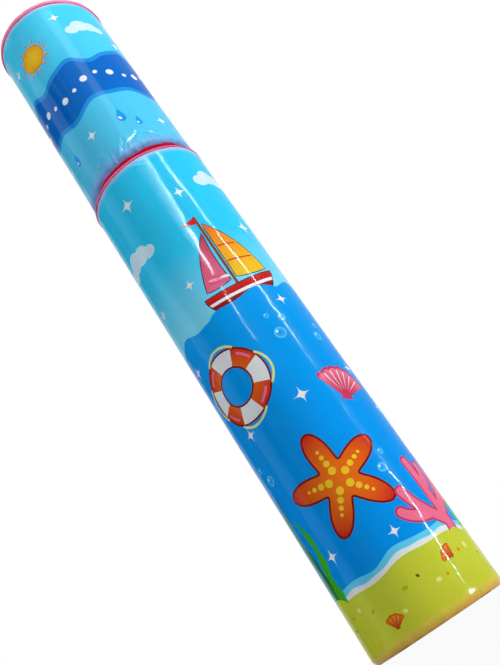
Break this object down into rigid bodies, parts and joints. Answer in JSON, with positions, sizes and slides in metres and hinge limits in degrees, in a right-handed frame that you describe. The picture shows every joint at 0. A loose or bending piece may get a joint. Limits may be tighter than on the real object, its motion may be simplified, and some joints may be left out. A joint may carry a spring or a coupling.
{
  "type": "water squirter",
  "caption": "Foam-sleeved hand pump water toy: a printed-film barrel with a nozzle in its front end and a sliding plunger with a foam grip that draws water in and squirts it out.",
  "frame": {"origin": "centre of the barrel's front face, where the squirter stands on its nozzle end", "axes": "+Z along the pump's axis from the nozzle to the handle, +X and +Y across it"},
  "size_m": [0.056, 0.056, 0.3305],
  "materials": {
    "foam": "matte closed-cell foam",
    "barrel_print": "glossy printed film",
    "handle_print": "glossy printed film",
    "tube": "smooth extruded plastic",
    "moulded": "satin moulded plastic",
    "seal": "matte rubber",
    "screw": "zinc plated"
  },
  "bodies": {
    "barrel": {"barrel_foam": "foam", "barrel_film": "barrel_print", "pump_tube": "tube", "nozzle_plug": "moulded", "nozzle_seal": "seal", "rear_guide": "moulded", "pull_stop_washer": "seal"},
    "piston_rings": {"front_piston_ring": "seal", "rear_piston_ring": "seal"},
    "plunger": {"piston_head": "moulded", "piston_washer": "screw", "piston_screw": "screw", "rod_front_plug": "moulded", "plunger_rod": "tube", "rod_rear_plug": "moulded", "push_stop_washer": "seal", "handle_bush": "moulded", "handle_tube": "tube", "handle_foam": "foam", "handle_film": "handle_print", "handle_cap": "moulded", "handle_washer": "screw", "handle_screw": "screw"}
  },
  "joints": [
    {"name": "plunger_slide", "type": "slide", "parent": "barrel", "child": "piston_rings", "axis": [0, 0, 1], "range_m": [0, 0.1624]},
    {"name": "plunger_turn", "type": "hinge", "parent": "piston_rings", "child": "plunger", "pos_m": [0, 0, 0.03], "axis": [0, 0, 1], "continuous": true}
  ]
}
